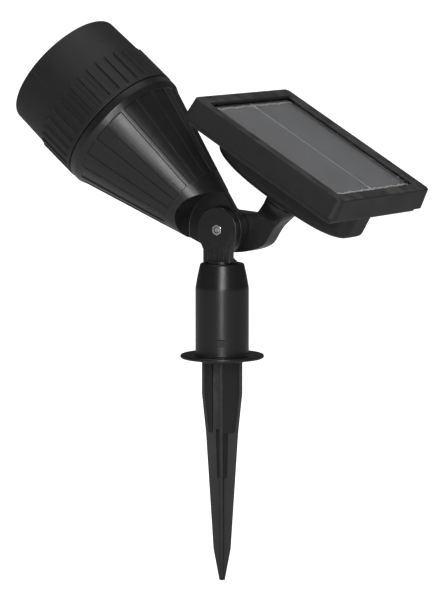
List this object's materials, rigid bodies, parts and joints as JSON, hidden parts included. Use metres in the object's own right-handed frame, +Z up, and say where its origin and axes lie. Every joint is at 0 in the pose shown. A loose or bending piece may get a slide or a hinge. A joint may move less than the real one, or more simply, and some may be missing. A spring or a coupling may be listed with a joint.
{
  "type": "solar garden light",
  "caption": "Solar garden spotlight on a ground spike: tilting cone-shaped lamp head with a gripped bezel, and a solar panel with battery housing on its own tilting, swivelling arm.",
  "frame": {"origin": "on the spike's axis at the underside of the sleeve's flange, which rests on the soil", "axes": "+Z up along the spike, -X towards the lamp head, +X towards the solar panel, pivot bolt along Y"},
  "size_m": [0.2792, 0.124, 0.3858],
  "materials": {
    "black_plastic": "satin moulded charcoal plastic",
    "spike_plastic": "matte moulded charcoal plastic",
    "zinc_steel": "bright zinc plated",
    "seal_rubber": "matte black rubber",
    "clear_lens": "clear polished lens",
    "cover_glass": "clear panel cover",
    "solar_cell": "dark grey-blue silicon under a clear cover",
    "backing_sheet": "matte dark backing board",
    "mirror_coat": "vacuum-plated reflector",
    "plain_aluminium": "plain milled aluminium",
    "white_board": "white solder-masked board",
    "green_board": "green solder-masked board",
    "phosphor": "yellow phosphor emitter",
    "battery_sleeve": "shrink sleeve"
  },
  "bodies": {
    "stake": {"ground_spike": "spike_plastic", "ground_sleeve": "black_plastic"},
    "stem": {"tilt_stem": "black_plastic", "swivel_washer": "zinc_steel", "swivel_screw": "zinc_steel", "pivot_bolt": "zinc_steel", "pivot_nut": "zinc_steel"},
    "head": {"lamp_housing": "black_plastic", "head_friction_washer": "seal_rubber", "reflector": "mirror_coat", "led_carrier": "plain_aluminium", "led_board": "white_board", "led_emitter": "phosphor", "board_screw_1": "zinc_steel", "board_screw_2": "zinc_steel"},
    "bezel": {"bezel_ring": "black_plastic", "lens_gasket": "seal_rubber", "front_lens": "clear_lens"},
    "arm": {"panel_arm": "black_plastic", "arm_friction_washer": "seal_rubber"},
    "panel": {"panel_frame": "black_plastic", "panel_glass": "cover_glass", "solar_cell_near": "solar_cell", "solar_cell_far": "solar_cell", "cell_backing": "backing_sheet", "back_cover": "black_plastic", "cover_seal": "seal_rubber", "battery": "battery_sleeve", "battery_tray": "black_plastic", "contact_spring": "zinc_steel", "contact_plate": "zinc_steel", "control_board": "green_board", "switch_body": "black_plastic", "panel_swivel_washer": "zinc_steel", "panel_swivel_screw": "zinc_steel", "case_screw_1": "zinc_steel", "case_screw_2": "zinc_steel", "case_screw_3": "zinc_steel", "case_screw_4": "zinc_steel"},
    "button": {"switch_button": "seal_rubber"}
  },
  "joints": [
    {"name": "stem_swivel", "type": "hinge", "parent": "stake", "child": "stem", "pos_m": [0, 0, 0.06], "axis": [0, 0, 1], "continuous": true},
    {"name": "head_tilt", "type": "hinge", "parent": "stem", "child": "head", "pos_m": [0, 0, 0.0893], "axis": [0, 1, 0], "range_deg": [-35, 10]},
    {"name": "bezel_twist", "type": "hinge", "parent": "head", "child": "bezel", "pos_m": [0, 0, 0.0893], "axis": [-0.7716, 0, 0.6361], "range_deg": [0, 25]},
    {"name": "arm_tilt", "type": "hinge", "parent": "stem", "child": "arm", "pos_m": [0, 0, 0.0893], "axis": [0, 1, 0], "range_deg": [-10, 25]},
    {"name": "panel_swivel", "type": "hinge", "parent": "arm", "child": "panel", "pos_m": [0.0648, 0.0134, 0.15], "axis": [0.5, 0, 0.866], "range_deg": [-90, 90]},
    {"name": "switch_press", "type": "slide", "parent": "panel", "child": "button", "axis": [0.5, 0, 0.866], "range_m": [0, 0.0014], "stiffness_N_per_m": 600}
  ]
}
